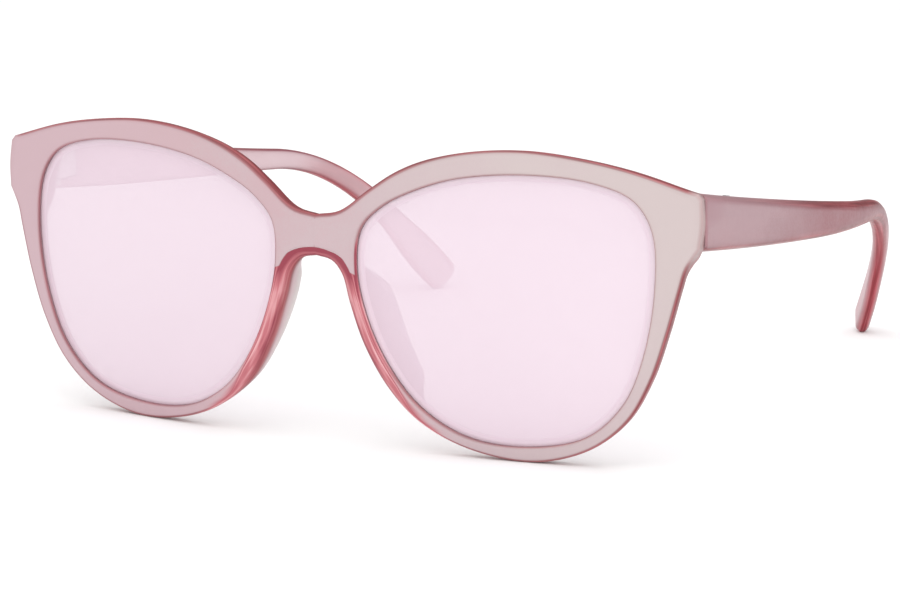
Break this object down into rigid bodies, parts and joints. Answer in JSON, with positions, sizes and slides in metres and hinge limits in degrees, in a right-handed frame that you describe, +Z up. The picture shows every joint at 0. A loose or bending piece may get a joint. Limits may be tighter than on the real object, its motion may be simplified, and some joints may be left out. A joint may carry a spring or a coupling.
{
  "type": "cat eye sunglasses",
  "caption": "Moulded cat eye sunglasses: curved front with upswept corners and built-in nose pads, tinted lenses in grooves, flat-sided temples folding on screwed barrel hinges.",
  "frame": {"origin": "centre of the footprint on the ground, on the plane of symmetry, with the temples open and standing on the rims and the temple tips", "axes": "+Z up, -Y out of the face of the front, +X towards the wearer's left"},
  "size_m": [0.1458, 0.1436, 0.0568],
  "materials": {
    "frame_plastic": "translucent pale pink moulded plastic, polished",
    "temple_plastic": "translucent dusty pink moulded plastic, polished",
    "lens_tint": "pale pink flash tint, smooth",
    "hinge_steel": "nickel plated, satin",
    "screw_steel": "plated steel"
  },
  "bodies": {
    "front": {"frame_front": "frame_plastic", "lens_left": "lens_tint", "lens_right": "lens_tint", "front_hinge_left": "hinge_steel", "front_hinge_right": "hinge_steel", "hinge_screw_left": "screw_steel", "hinge_screw_right": "screw_steel"},
    "left_temple": {"temple_left": "temple_plastic", "temple_hinge_left": "hinge_steel"},
    "right_temple": {"temple_right": "temple_plastic", "temple_hinge_right": "hinge_steel"}
  },
  "joints": [
    {"name": "left_temple_fold", "type": "hinge", "parent": "front", "child": "left_temple", "pos_m": [0.067, -0.05515, 0.04421], "axis": [0, 0, 1], "range_deg": [0, 84]},
    {"name": "right_temple_fold", "type": "hinge", "parent": "front", "child": "right_temple", "pos_m": [-0.067, -0.05515, 0.04421], "axis": [0, 0, -1], "range_deg": [0, 78]}
  ]
}
